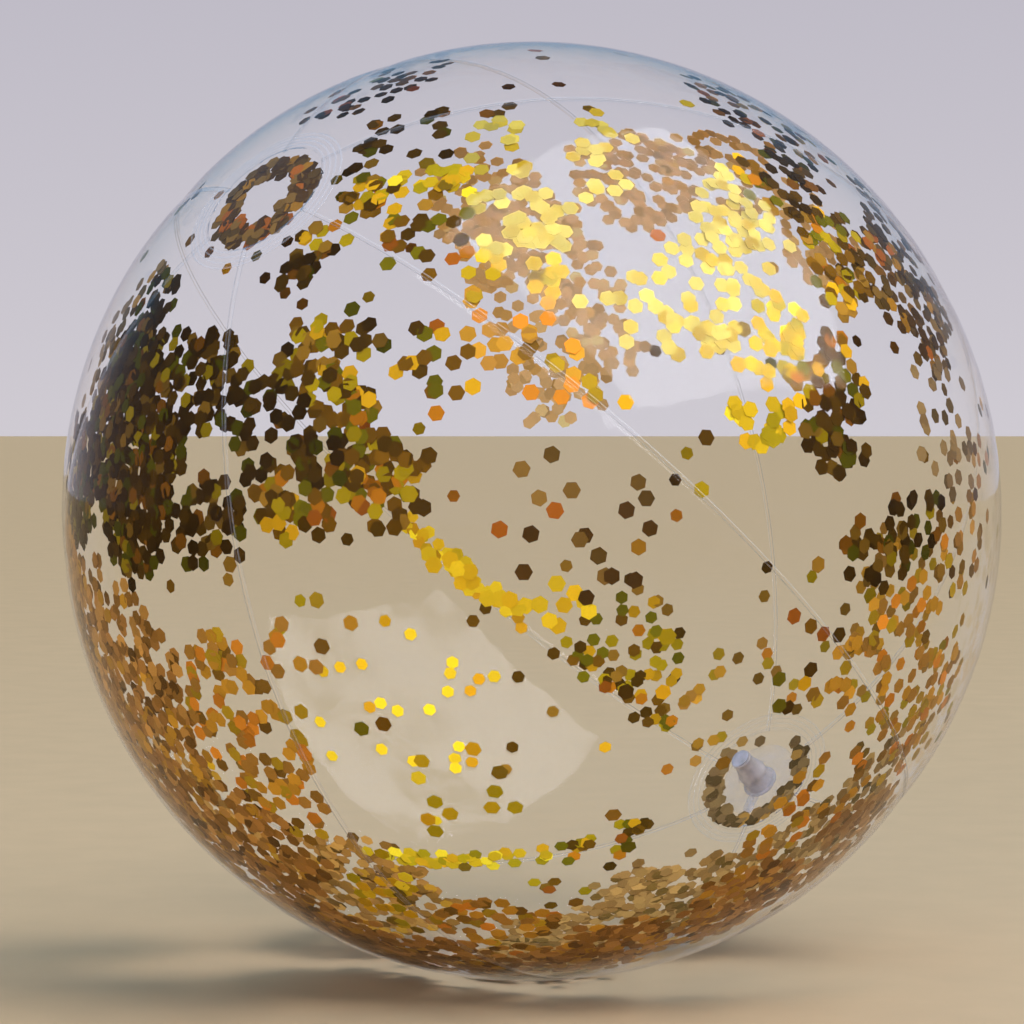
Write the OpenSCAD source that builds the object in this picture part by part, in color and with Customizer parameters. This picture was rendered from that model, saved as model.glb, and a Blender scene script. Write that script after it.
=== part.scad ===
// Clear inflatable beach ball: six welded film gores, two round pole caps, a push-in valve and gold glitter.
// The ball stands on a small flat where its own weight presses the film onto the floor.
// Origin: the middle of that flat, on the floor. +Z is up.

/* [Ball] */
// Outside radius of the inflated ball
ball_r = 175; // [165:5:185]
// Number of gores around the ball
gore_count = 6; // [6:1:6]
// Radius of the flat where the film rests on the floor
rest_flat_r = 20; // [16:1:24]

/* [Film] */
// Thickness of one layer of film
film_t = 0.3; // [0.25:0.05:0.4]
// Width of the lap weld between two gores
lap_w = 1.6; // [1.2:0.2:3]
// How far the pressed edge of a lap reaches back under its own gore
lap_root_w = 2; // [1:0.5:3]

/* [Pole caps] */
// Radius of each round pole cap
cap_r = 32; // [30:1:36]
// Radius of the hole that the gore tips leave at a pole
tip_hole_r = 24; // [22:1:26]
// Number of ring welds around a cap
ring_count = 4; // [2:1:4]
// Distance from one ring weld to the next
ring_step = 2.1; // [2:0.1:2.3]
// Width of one ring weld
ring_w = 0.8; // [0.5:0.1:1.2]
// Height of one ring weld
ring_h = 0.25; // [0.2:0.05:0.4]

/* [Valve] */
// Radius of the soft flange that is welded inside the valve cap
flange_r = 17; // [15:1:18]
// Thickness of that flange
flange_t = 0.8; // [0.6:0.1:1]
// Outside radius of the valve stem
stem_r = 6; // [5.6:0.2:6.4]
// Radius of the stem's bore
bore_r = 2.6; // [2.4:0.1:3]
// Length of the stem inside the ball when it is pushed in
stem_len = 15; // [13:1:18]
// Radius of the stem's narrow inner end
stem_tip_r = 4.4; // [4.2:0.1:5]
// Length of the taper between the stem's body and its inner end
taper_len = 5; // [4:0.5:6]
// Length of the flange's skirt, which guides the stem
skirt_len = 5; // [4:0.5:6]
// Outside radius of the skirt where it leaves the flange
skirt_r = 8; // [7.8:0.2:8.6]
// Radius of the lip outside the ball
lip_r = 7.4; // [7.2:0.1:7.8]
// Thickness of the lip
lip_t = 1; // [0.8:0.1:1.2]
// Radius of the plug's head
plug_head_r = 5.4; // [5:0.2:6]
// Height of the plug's head
plug_head_h = 1.8; // [1.6:0.2:2.4]
// Depth of the plug's shank in the bore
plug_len = 7; // [5:1:9]
// Width of the tether strap
tether_w = 3; // [2:0.5:4]
// Distance from the valve's axis to the fold of the tether
tether_reach = 13; // [11:1:15]
// Radius of the check flap's disc
flap_r = 3.8; // [3.4:0.1:4]

/* [Glitter] */
// Size of one hexagonal flake across its corners
flake_d = 5.8; // [5.2:0.2:6]
// Thickness of one flake
flake_t = 0.1; // [0.1:0.05:0.2]
// Spacing of the flakes within a patch
patch_step = 4.2; // [4.2:0.1:5]

/* [Rest pose] */
// Lean of the pole axis from the vertical
pole_tilt = 50; // [45:1:55]
// Heading of the plain pole around the vertical
pole_heading = -134; // [-180:1:180]
// Angle of the first seam around the pole axis
seam_start = 14; // [12:1:16]

/* [Hidden] */
gore_angle = 360 / gore_count;
rest_sag = ball_r - sqrt(pow(ball_r, 2) - pow(rest_flat_r, 2));
centre_z = ball_r - rest_sag;           // height of the ball's centre over the floor
big = 2 * ball_r;                       // side of the cutting blocks
gap = 0.3;                              // clearance between parts that move past each other
ring_outer = cap_r - ring_w / 2;        // radius of the outermost ring weld
lip_z = film_t + 0.15;                  // underside of the lip, clear of the valve cap
plug_fit = 0.05;                        // running clearance of the plug's shank in the bore
flap_t = 0.5;                           // thickness of the check flap
skirt_draft = 1;                        // how much narrower the skirt is at its free end
leg_t = 0.8;                            // thickness of the tether strap
golden = 137.508;                       // turn from one flake of a patch to the next
cling_r = ball_r - 3.5 * film_t;        // clinging flakes lie just inside the laps
heap_r = centre_z - film_t - 0.75;      // the loose heap clears the flat when it slides
heap_step = 0.35;                       // from one layer of the heap to the next
heap_counts = [34, 20];                 // flakes in each layer of the heap
$fn = 128;

// Clinging patches of each gore: [angle around the pole axis, angle from the plain pole, flakes]
patches = [
    [[44, 42, 16], [32, 112, 20]],
    [[100, 55, 24], [118, 74, 12], [88, 108, 10]],
    [[150, 152, 12]],
    [[244, 104, 10], [243, 126, 12]],
    [[265, 114, 12], [303, 140, 12]],
    [[331, 50, 24], [340, 88, 24]],
];

// ---- shared shapes -------------------------------------------------------------------------

// The ball's own frame: +Z is the plain pole, -Z is the valve
module posed() {
    translate([0, 0, centre_z]) rotate([0, pole_tilt, pole_heading]) children();
}

// The valve's frame: the origin lies on the ball's surface and +Z leaves the ball
module at_valve() {
    posed() rotate([180, 0, 0]) translate([0, 0, ball_r]) children();
}

// A layer of film between two radii
module shell(inner, outer) {
    difference() {
        sphere(r = outer);
        sphere(r = inner);
    }
}

// The wedge between two half planes through the pole axis
module wedge(from, to) {
    intersection() {
        rotate([0, 0, from]) translate([-big, 0, -big]) cube([2 * big, big, 2 * big]);
        rotate([0, 0, to]) translate([-big, -big, -big]) cube([2 * big, big, 2 * big]);
    }
}

// A strip of even width along the half plane at one angle
module strip(angle, back, ahead) {
    rotate([0, 0, angle]) translate([0, -back, -big]) cube([big, back + ahead, 2 * big]);
}

// What is cut off both ends of a gore, so that the caps can close the ball
module tip_holes() {
    cylinder(r = tip_hole_r, h = 2 * big, center = true);
}

// Everything under the floor, after the film is pressed flat to a height
module below(height) {
    translate([-big, -big, height - 2 * big]) cube([2 * big, 2 * big, 2 * big]);
}

// ---- film ----------------------------------------------------------------------------------

// One gore: its lune of film, and the lap that is welded under the next gore
module gore(k) {
    from = seam_start + (k - 1) * gore_angle;
    to = from + gore_angle;
    rests = from < 360 && to > 360;
    color([0.86, 0.85, 0.92, 0.35]) difference() {
        posed() difference() {
            union() {
                intersection() {
                    shell(ball_r - film_t, ball_r);
                    wedge(from, to);
                }
                intersection() {
                    shell(ball_r - 2 * film_t, ball_r - film_t);
                    strip(to, lap_root_w, lap_w);
                }
            }
            tip_holes();
        }
        if (rests) below(0);
    }
    if (rests) color([0.86, 0.85, 0.92, 0.35]) rest_patch();
}

// The pressed part of the resting gore, where the film lies flat on the floor
module rest_patch() {
    cylinder(r = rest_flat_r - 0.6, h = film_t);
}

// A round cap over the gore tips, with its ring welds
module cap() {
    intersection() {
        shell(ball_r, ball_r + film_t);
        cylinder(r = cap_r, h = big);
    }
    intersection() {
        shell(ball_r + film_t / 2, ball_r + film_t + ring_h);
        for (i = [0 : ring_count - 1]) ring_cut(ring_outer - i * ring_step);
    }
}

// An upright tube that marks out one ring weld
module ring_cut(r) {
    difference() {
        cylinder(r = r + ring_w / 2, h = big);
        cylinder(r = r - ring_w / 2, h = big);
    }
}

module end_cap() {
    color([0.84, 0.84, 0.92, 0.45]) posed() cap();
}

module valve_cap() {
    color([0.84, 0.84, 0.92, 0.45]) difference() {
        posed() mirror([0, 0, 1]) cap();
        at_valve() cylinder(r = stem_r + gap, h = 4 * film_t + 4, center = true);
    }
}

// ---- valve ---------------------------------------------------------------------------------

// The flange under the valve cap, with the tapered skirt that guides the stem
module valve_flange() {
    color([0.72, 0.72, 0.9, 0.6]) difference() {
        union() {
            posed() intersection() {
                shell(ball_r - flange_t, ball_r);
                mirror([0, 0, 1]) cylinder(r = flange_r, h = big);
            }
            at_valve() translate([0, 0, -skirt_len])
                cylinder(r1 = skirt_r - skirt_draft, r2 = skirt_r, h = skirt_len - flange_t / 2);
        }
        at_valve() cylinder(r = stem_r + gap, h = 2 * skirt_len + 4, center = true);
    }
}

// The stem, pushed in: a lip outside, a body in the skirt, a taper and a narrow inner end, bored through
module valve_stem() {
    taper_z = -skirt_len - skirt_draft;
    tip_z = taper_z - taper_len;
    color([0.6, 0.6, 0.88, 0.7]) at_valve() difference() {
        union() {
            translate([0, 0, lip_z]) cylinder(r = lip_r, h = lip_t);
            translate([0, 0, taper_z]) cylinder(r = stem_r, h = lip_z + lip_t / 2 - taper_z);
            translate([0, 0, tip_z]) cylinder(r1 = stem_tip_r, r2 = stem_r, h = taper_z - tip_z);
            translate([0, 0, -stem_len]) cylinder(r = stem_tip_r, h = tip_z + stem_len);
        }
        translate([0, 0, -stem_len - 1]) cylinder(r = bore_r, h = stem_len + lip_z + lip_t + 2);
    }
}

module valve_plug() {
    head_z = lip_z + lip_t + plug_fit;
    color([0.62, 0.62, 0.88, 0.8]) at_valve() translate([0, 0, head_z]) rotate_extrude()
        polygon([
            [0, -plug_len], [bore_r - 1, -plug_len], [bore_r - plug_fit, 1.5 - plug_len],
            [bore_r - plug_fit, 0], [plug_head_r, 0], [plug_head_r, plug_head_h - 0.5],
            [plug_head_r - 0.5, plug_head_h], [0, plug_head_h],
        ]);
}

// The strap that keeps the plug with the stem, folded back on itself beside the plug
module plug_tether() {
    top = lip_z + lip_t + plug_fit + plug_head_h - 0.6;
    bottom = lip_z + 0.1;
    fold_r = (top - bottom) / 2;
    fold_z = (top + bottom) / 2;
    color([0.62, 0.62, 0.88, 0.8]) at_valve() rotate([90, 0, 0])
        translate([0, 0, -tether_w / 2]) linear_extrude(tether_w) {
            translate([plug_head_r - 0.3, top - leg_t]) square([tether_reach - plug_head_r + 0.3, leg_t]);
            translate([lip_r + plug_fit, bottom]) square([tether_reach - lip_r - plug_fit, leg_t]);
            intersection() {
                translate([tether_reach, fold_z]) difference() {
                    circle(r = fold_r);
                    circle(r = fold_r - leg_t);
                }
                translate([tether_reach, bottom - 1]) square([2 * fold_r, 4 * fold_r]);
            }
        }
}

// The flap that closes the stem's inner end and opens into the ball
module check_flap() {
    color([0.8, 0.8, 0.92, 0.6]) at_valve() translate([0, 0, -stem_len - gap - flap_t]) {
        cylinder(r = flap_r, h = flap_t);
        translate([0, -flap_r / 2, 0]) cube([stem_tip_r, flap_r, flap_t]);
    }
}

// ---- glitter -------------------------------------------------------------------------------

// One flake, lying on a sphere of radius r around the ball's centre
module flake(r, turn) {
    translate([0, 0, r - flake_t]) rotate([0, 0, turn]) cylinder(d = flake_d, h = flake_t, $fn = 6);
}

// A patch of flakes in a sunflower spiral around +Z
module patch(r, count) {
    for (i = [0 : count - 1])
        rotate([0, 0, i * golden])
            rotate([0, patch_step * sqrt(i + 0.5) / r * 180 / PI, 0])
                flake(r, i * 37);
}

// A ring of flakes around +Z
module flake_ring(ring_r, count) {
    for (i = [0 : count - 1])
        rotate([0, 0, i * 360 / count]) rotate([0, asin(ring_r / cling_r), 0]) flake(cling_r, i * 23);
}

module glitter_gore(k) {
    color([0.83, 0.62, 0.12]) posed()
        for (p = patches[k - 1]) rotate([0, p[1], p[0]]) patch(cling_r, p[2]);
}

module glitter_end_cap() {
    color([0.5, 0.36, 0.1]) posed() {
        flake_ring(16, 14);
        flake_ring(22.4, 20);
    }
}

module glitter_valve_cap() {
    color([0.5, 0.36, 0.1]) posed() mirror([0, 0, 1]) flake_ring(20.5, 18);
}

// The loose heap at the lowest place inside the ball
module loose_glitter() {
    color([0.72, 0.48, 0.1]) translate([0, 0, centre_z]) rotate([180, 0, 0])
        for (i = [0 : len(heap_counts) - 1]) rotate([0, 0, 60 * i]) patch(heap_r - i * heap_step, heap_counts[i]);
}

// ---- nodes ---------------------------------------------------------------------------------

gore(1);  // gore_1
gore(2);  // gore_2
gore(3);  // gore_3
gore(4);  // gore_4
gore(5);  // gore_5
gore(6);  // gore_6
end_cap();
valve_cap();
valve_flange();
valve_stem();
valve_plug();
plug_tether();
check_flap();
glitter_gore(1);  // glitter_gore_1
glitter_gore(2);  // glitter_gore_2
glitter_gore(3);  // glitter_gore_3
glitter_gore(4);  // glitter_gore_4
glitter_gore(5);  // glitter_gore_5
glitter_gore(6);  // glitter_gore_6
glitter_end_cap();
glitter_valve_cap();
loose_glitter();
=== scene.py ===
import math

import bmesh
import bpy
import numpy as np
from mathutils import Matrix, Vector


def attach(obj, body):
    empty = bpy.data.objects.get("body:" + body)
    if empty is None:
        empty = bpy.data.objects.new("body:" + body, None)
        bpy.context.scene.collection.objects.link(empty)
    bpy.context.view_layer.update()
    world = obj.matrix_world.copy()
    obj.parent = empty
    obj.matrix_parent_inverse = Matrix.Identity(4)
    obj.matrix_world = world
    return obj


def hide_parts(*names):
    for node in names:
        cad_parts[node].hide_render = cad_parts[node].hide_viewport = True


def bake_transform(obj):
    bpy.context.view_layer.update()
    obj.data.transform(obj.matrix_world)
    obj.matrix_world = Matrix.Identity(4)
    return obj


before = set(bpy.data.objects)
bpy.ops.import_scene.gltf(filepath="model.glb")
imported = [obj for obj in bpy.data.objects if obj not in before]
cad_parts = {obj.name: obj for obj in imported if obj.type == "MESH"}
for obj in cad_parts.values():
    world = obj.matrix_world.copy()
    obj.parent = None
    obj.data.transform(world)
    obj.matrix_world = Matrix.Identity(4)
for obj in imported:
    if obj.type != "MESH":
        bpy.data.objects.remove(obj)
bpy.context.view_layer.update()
print("frame loaded:", len(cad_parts), "CAD nodes")

# The ball's own sizes, in metres and degrees, as the CAD has them
ball = {
    "radius": 0.175,
    "restFlat": 0.020,      # radius of the flat that it stands on
    "gores": 6,
    "poleTilt": 50,
    "poleHeading": -134,
    "firstSeam": 14,        # angle of the first seam around the pole axis
    "filmThick": 0.0003,
}
centre = np.array([0, 0, math.sqrt(ball["radius"] ** 2 - ball["restFlat"] ** 2)])
goreAngle = 2 * math.pi / ball["gores"]
firstSeam = math.radians(ball["firstSeam"])


def turnAbout(axis, degrees):
    # a turn about one axis, as a 3 by 3 matrix
    a = math.radians(degrees)
    c, s = math.cos(a), math.sin(a)
    if axis == "y":
        return np.array([[c, 0, s], [0, 1, 0], [-s, 0, c]])
    if axis == "x":
        return np.array([[1, 0, 0], [0, c, -s], [0, s, c]])
    return np.array([[c, -s, 0], [s, c, 0], [0, 0, 1]])


poleFrame = turnAbout("z", ball["poleHeading"]) @ turnAbout("y", ball["poleTilt"])
valveFrame = poleFrame @ turnAbout("x", 180)
valveOut = valveFrame[:, 2]
valveSeat = centre + valveOut * ball["radius"]


def direction(angle, colat):
    # unit vectors from the ball's centre: angle turns about the pole axis, colat leaves the plain pole
    local = np.stack([np.sin(colat) * np.cos(angle), np.sin(colat) * np.sin(angle), np.cos(colat)], -1)
    return local @ poleFrame.T


def placed(angle, colat, radius):
    return centre + direction(angle, colat) * np.asarray(radius)[..., None]


def atValve(points):
    # the valve's frame: origin on the ball's surface, z leaving the ball
    return valveSeat + points @ valveFrame.T


def fade(x, low, high):
    # smooth step from 0 at low to 1 at high
    t = np.clip((x - low) / (high - low), 0, 1)
    return t * t * (3 - 2 * t)


def meshPiece(name, vertices, quads, uv=None, smooth=True):
    # one mesh from arrays: vertices (n, 3) and faces (m, corners)
    mesh = bpy.data.meshes.new(name)
    corners = quads.shape[1]
    mesh.vertices.add(len(vertices))
    mesh.vertices.foreach_set("co", np.asarray(vertices, np.float32).ravel())
    mesh.loops.add(quads.size)
    mesh.loops.foreach_set("vertex_index", quads.astype(np.int32).ravel())
    mesh.polygons.add(len(quads))
    mesh.polygons.foreach_set("loop_start", np.arange(0, quads.size, corners, dtype=np.int32))
    mesh.update(calc_edges=True)
    mesh.validate()
    if uv is not None:
        layer = mesh.uv_layers.new(name="surface")
        layer.data.foreach_set("uv", np.asarray(uv, np.float32)[quads.ravel()].ravel())
    mesh.polygons.foreach_set("use_smooth", np.full(len(mesh.polygons), smooth))
    piece = bpy.data.objects.new(name, mesh)
    bpy.context.scene.collection.objects.link(piece)
    return piece


def gridFaces(rows, columns, closeColumns=False):
    # quads of a rows by columns grid; closeColumns joins the last column to the first
    r = np.arange(rows - 1)[:, None]
    c = np.arange(columns if closeColumns else columns - 1)[None, :]
    n = (c + 1) % columns
    quads = np.stack([r * columns + c, (r + 1) * columns + c, (r + 1) * columns + n, r * columns + n], -1)
    return quads.reshape(-1, 4)


def cleanUp(piece, turnOut=False, closeEnds=0):
    # merges vertices that share one place, as at a pole, closes the ends of a tube with that many corners,
    # and turns the faces of a closed shape outwards
    work = bmesh.new()
    work.from_mesh(piece.data)
    bmesh.ops.remove_doubles(work, verts=work.verts, dist=1e-7)
    if closeEnds:
        bmesh.ops.holes_fill(work, edges=[e for e in work.edges if e.is_boundary], sides=closeEnds + 1)
    if turnOut:
        bmesh.ops.recalc_face_normals(work, faces=work.faces)
    work.to_mesh(piece.data)
    work.free()


def solidify(piece, thick, offset=-1):
    wall = piece.modifiers.new("wall", "SOLIDIFY")
    wall.thickness = thick
    wall.offset = offset
    wall.use_quality_normals = True
    wall.use_rim = True


def lathe(name, profile, steps, place):
    # profile points (r, z) turned about the valve's axis; a ring-shaped part repeats its first point
    r, z = np.array(profile, float).T
    t = np.linspace(0, 2 * math.pi, steps, endpoint=False)
    x = r[:, None] * np.cos(t)
    y = r[:, None] * np.sin(t)
    points = np.stack([x, y, np.broadcast_to(z[:, None], x.shape)], -1).reshape(-1, 3)
    along = np.concatenate([[0], np.cumsum(np.hypot(np.diff(r), np.diff(z)))])
    uv = np.stack([np.broadcast_to(t / (2 * math.pi), x.shape),
                   np.broadcast_to(along[:, None], x.shape)], -1).reshape(-1, 2)
    piece = meshPiece(name, place(points), gridFaces(len(r), steps, True), uv)
    cleanUp(piece, turnOut=True)
    return piece


def roundedProfile(corners, radius, steps=5):
    # a polyline of (r, z) corners whose inner corners are each rounded by a quadratic curve
    pts = np.array(corners, float)
    out = [pts[0]]
    for before, here, after in zip(pts[:-2], pts[1:-1], pts[2:]):
        a, b = before - here, after - here
        cut = min(radius, 0.45 * np.hypot(*a), 0.45 * np.hypot(*b))
        start = here + a / np.hypot(*a) * cut
        end = here + b / np.hypot(*b) * cut
        t = np.linspace(0, 1, steps)[:, None]
        out.extend((1 - t) ** 2 * start + 2 * t * (1 - t) * here + t ** 2 * end)
    out.append(pts[-1])
    return np.array(out)


def newMaterial(name):
    # an empty node tree with its output node
    material = bpy.data.materials.new(name)
    material.use_nodes = True
    tree = material.node_tree
    tree.nodes.clear()
    out = tree.nodes.new("ShaderNodeOutputMaterial")
    return material, tree, out


def feed(tree, node, **values):
    # fills a node's inputs by name: a socket is linked, a number or colour is set on the input itself
    for label, value in values.items():
        target = node.inputs[label.replace("_", " ")]
        if hasattr(value, "is_linked"):
            tree.links.new(value, target)
        else:
            target.default_value = value
    return node


def principled(tree, out, **values):
    # one Principled shader on the output, its sockets fed by name
    body = tree.nodes.new("ShaderNodeBsdfPrincipled")
    tree.links.new(body.outputs[0], out)
    return feed(tree, body, **values)


def calculate(tree, operation, a, b=None, clamp=False):
    # one Math node; a and b are sockets or numbers
    node = tree.nodes.new("ShaderNodeMath")
    node.operation = operation
    node.use_clamp = clamp
    for slotIndex, value in enumerate([a, b]):
        if value is None:
            continue
        if hasattr(value, "is_linked"):
            tree.links.new(value, node.inputs[slotIndex])
        else:
            node.inputs[slotIndex].default_value = value
    return node.outputs[0]


def mapRange(tree, value, fromLow, fromHigh, toLow, toHigh):
    # an even rise from toLow to toHigh as the value goes from fromLow to fromHigh
    node = tree.nodes.new("ShaderNodeMapRange")
    feed(tree, node, Value=value, From_Min=fromLow, From_Max=fromHigh, To_Min=toLow, To_Max=toHigh)
    return node.outputs["Result"]


def noise(tree, vector, scale, detail=3.0, rough=0.5):
    node = tree.nodes.new("ShaderNodeTexNoise")
    feed(tree, node, Vector=vector, Scale=scale, Detail=detail, Roughness=rough)
    return node.outputs["Fac"]


def ramp(tree, value, stops):
    node = tree.nodes.new("ShaderNodeValToRGB")
    elements = node.color_ramp.elements
    while len(elements) < len(stops):
        elements.new(0.5)
    for element, (position, colour) in zip(elements, stops):
        element.position = position
        element.color = (*colour, 1)
    tree.links.new(value, node.inputs["Fac"])
    return node.outputs["Color"]


def mixColour(tree, factor, a, b, blend="MIX"):
    node = tree.nodes.new("ShaderNodeMix")
    node.data_type = "RGBA"
    node.blend_type = blend
    for socket, value in (("Factor", factor), ("A", a), ("B", b)):
        target = [s for s in node.inputs if s.name == socket and s.enabled][0]
        if hasattr(value, "is_linked"):
            tree.links.new(value, target)
        elif socket == "Factor":
            target.default_value = value
        else:
            target.default_value = (*value, 1)
    return [s for s in node.outputs if s.enabled][0]


def bumpFrom(tree, height, strength, distance):
    node = tree.nodes.new("ShaderNodeBump")
    feed(tree, node, Height=height, Strength=strength, Distance=distance)
    return node.outputs["Normal"]


def objectPoint(tree):
    return tree.nodes.new("ShaderNodeTexCoord").outputs["Object"]


def surfacePoint(tree):
    return tree.nodes.new("ShaderNodeTexCoord").outputs["UV"]


def newGroup(name, inputs, outputs):
    # a shader node group with named float or vector sockets
    group = bpy.data.node_groups.new(name, "ShaderNodeTree")
    for label, kind in inputs.items():
        group.interface.new_socket(label, in_out="INPUT", socket_type=kind)
    for label in outputs:
        group.interface.new_socket(label, in_out="OUTPUT", socket_type="NodeSocketFloat")
    return group, group.nodes.new("NodeGroupInput"), group.nodes.new("NodeGroupOutput")


def fineLine(tree, u, place, halfWidth):
    # 1 on the line at u = place, falling evenly to 0 at half a width on each side
    away = calculate(tree, "ABSOLUTE", calculate(tree, "SUBTRACT", u, place))
    return mapRange(tree, away, 0.0, halfWidth, 1.0, 0.0)


# Places of a painted highlight line and a painted shade line beside a gore's lap edge, and the step of the
# welder's pressed pattern, in metres across it
weldLine = {
    "dark": 0.0002,
    "light": 0.0014,
    "halfWidth": 0.00024,
    "knurlStep": 0.0009,    # from one ridge of the pressed pattern to the next
}


def makeWeldShadingAndKnurl():
    # u is metres across from the gore's edge, v is metres along it
    group, start, end = newGroup(
        "weldShadingAndKnurl", {"Surface": "NodeSocketVector", "Width": "NodeSocketFloat"}, ["Light", "PaintedShade", "Knurl"])
    parts = group.nodes.new("ShaderNodeSeparateXYZ")
    group.links.new(start.outputs["Surface"], parts.inputs[0])
    u, v = parts.outputs["X"], parts.outputs["Y"]
    # the light line is a painted highlight and the dark line a painted shade along the lap edge; the knurl
    # is the real pressed pattern
    light = fineLine(group, u, weldLine["light"], weldLine["halfWidth"])
    dark = fineLine(group, u, weldLine["dark"], weldLine["halfWidth"])
    inside = calculate(group, "LESS_THAN", u, start.outputs["Width"])
    along = calculate(group, "MULTIPLY", calculate(group, "ADD", u, v), 2 * math.pi / weldLine["knurlStep"])
    ridges = mapRange(group, calculate(group, "SINE", along), -1, 1, 0, 1)
    knurl = calculate(group, "MULTIPLY", ridges, inside)
    group.links.new(light, end.inputs["Light"])
    group.links.new(dark, end.inputs["PaintedShade"])
    group.links.new(knurl, end.inputs["Knurl"])
    return group


# Dust and scuffs on film: scales are in noise cells to a metre, shares are parts of the whole mask
dust = {
    "cloudScale": 9,
    "cloudShare": 0.6,
    "speckScale": 900,
    "speckShare": 0.5,
    "scuffScale": (60, 60, 520),
    "scuffTurn": (0.6, 0.4, 0.3),
    "scuffShare": 0.3,
    "rippleScale": 22,
    "fineRippleScale": 90,
    "fineRippleShare": 0.12,
}


def makeFilmHaze():
    # fine dust and scuffs on clear film, as a mask, with the height of its shallow ripples
    group, start, end = newGroup("filmHaze", {"Point": "NodeSocketVector"}, ["Haze", "Ripple"])
    point = start.outputs["Point"]
    broad = mapRange(group, noise(group, point, dust["cloudScale"], 2), 0.35, 0.75, 0, 1)
    specks = mapRange(group, noise(group, point, dust["speckScale"], 2), 0.70, 0.80, 0, 1)
    streaks = group.nodes.new("ShaderNodeMapping")
    streaks.inputs["Scale"].default_value = dust["scuffScale"]
    streaks.inputs["Rotation"].default_value = dust["scuffTurn"]
    group.links.new(point, streaks.inputs["Vector"])
    scuffs = mapRange(group, noise(group, streaks.outputs["Vector"], 1, 2), 0.68, 0.82, 0, 1)
    specks = calculate(group, "MULTIPLY", specks, dust["speckShare"])
    scuffs = calculate(group, "MULTIPLY", scuffs, dust["scuffShare"])
    broad = calculate(group, "MULTIPLY", broad, dust["cloudShare"])
    haze = calculate(group, "ADD", broad, calculate(group, "ADD", specks, scuffs), clamp=True)
    small = noise(group, point, dust["fineRippleScale"], 1)
    small = calculate(group, "MULTIPLY", small, dust["fineRippleShare"])
    ripple = calculate(group, "ADD", noise(group, point, dust["rippleScale"], 1), small)
    group.links.new(haze, end.inputs["Haze"])
    group.links.new(ripple, end.inputs["Ripple"])
    return group


weldShadingAndKnurl = makeWeldShadingAndKnurl()
filmHaze = makeFilmHaze()


def useGroup(tree, group, **inputs):
    node = tree.nodes.new("ShaderNodeGroup")
    node.node_tree = group
    return feed(tree, node, **inputs)


filmLook = {
    "milk": (0.62, 0.62, 0.72),        # colour of the faint haze
    # The light and dark weld lines are a painted highlight and a painted shade along each gore's lap edge;
    # the light colour also draws the caps' ring lines.
    "lineLight": (0.95, 0.95, 1.0),
    "shadeLineColour": (0.10, 0.10, 0.12),
    "hazeLow": 0.0006,                 # how solid the film is where it is cleanest
    "hazeHigh": 0.004,                 # and where it is dusty
    "highlightShare": 0.20,                # how solid the light weld line is
    "shadeShare": 0.26,                 # and the dark one
    "faceOn": 0.0045,                  # mirror share seen straight on
    "rimPower": 8.0,                   # how late the mirror share rises towards the rim
    "roughness": 0.06,
    "hazeRoughness": 0.35,
    "gloss": (0.97, 0.97, 1.0),
    "ripple": 0.0011,                  # height of the film's shallow ripples, in metres
    "bump": 0.5,
}


def ringMarks(tree, look):
    # light lines at the radii of a pole cap's ring welds; u is metres from the pole
    parts = tree.nodes.new("ShaderNodeSeparateXYZ")
    tree.links.new(surfacePoint(tree), parts.inputs[0])
    lines = None
    for radius in cap["rings"]:
        line = fineLine(tree, parts.outputs["X"], radius, cap["ringWidth"] / 2)
        lines = line if lines is None else calculate(tree, "MAXIMUM", lines, line)
    return calculate(tree, "MULTIPLY", lines, look["ringShare"])


def clearFilm(name, look, welded=True):
    # see-through film: a faint haze under a mirror share that grows towards the rim as a power of
    # (1 - cosine)
    material, tree, out = newMaterial(name)
    haze = useGroup(tree, filmHaze, Point=objectPoint(tree))
    solid = mapRange(tree, haze.outputs["Haze"], 0, 1, look["hazeLow"], look["hazeHigh"])
    height = calculate(tree, "MULTIPLY", haze.outputs["Ripple"], look["ripple"])
    if welded:
        marks = useGroup(tree, weldShadingAndKnurl, Surface=surfacePoint(tree), Width=film["lapWidth"])
        # painted highlight and painted shade lines along the lap edge, in the haze's solidness and colour
        light = calculate(tree, "MULTIPLY", marks.outputs["Light"], look["highlightShare"])
        dark = calculate(tree, "MULTIPLY", marks.outputs["PaintedShade"], look["shadeShare"])
        solid = calculate(tree, "ADD", solid, calculate(tree, "ADD", light, dark), clamp=True)
        colour = mixColour(tree, marks.outputs["Light"], look["milk"], look["lineLight"])
        colour = mixColour(tree, marks.outputs["PaintedShade"], colour, look["shadeLineColour"])
        knurl = calculate(tree, "MULTIPLY", marks.outputs["Knurl"], film["knurlHeight"])
        height = calculate(tree, "ADD", height, knurl)
    else:
        rings = ringMarks(tree, look)
        solid = calculate(tree, "ADD", solid, rings, clamp=True)
        colour = mixColour(tree, rings, look["milk"], look["lineLight"])
    normal = bumpFrom(tree, height, look["bump"], 1.0)
    shiny = tree.nodes.new("ShaderNodeMixShader")
    tree.links.new(shiny.outputs[0], out.inputs["Surface"])
    principled(tree, shiny.inputs[1],
               Base_Color=colour, Alpha=solid, Normal=normal, Roughness=look["hazeRoughness"])
    gloss = tree.nodes.new("ShaderNodeBsdfGlossy")
    feed(tree, gloss, Color=(*look["gloss"], 1), Roughness=look["roughness"], Normal=normal)
    tree.links.new(gloss.outputs[0], shiny.inputs[2])
    weight = tree.nodes.new("ShaderNodeLayerWeight")
    weight.inputs["Blend"].default_value = 0.5
    grazing = calculate(tree, "POWER", weight.outputs["Facing"], look["rimPower"])
    tree.links.new(mapRange(tree, grazing, 0, 1, look["faceOn"], 1.0), shiny.inputs["Fac"])
    return material


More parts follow.
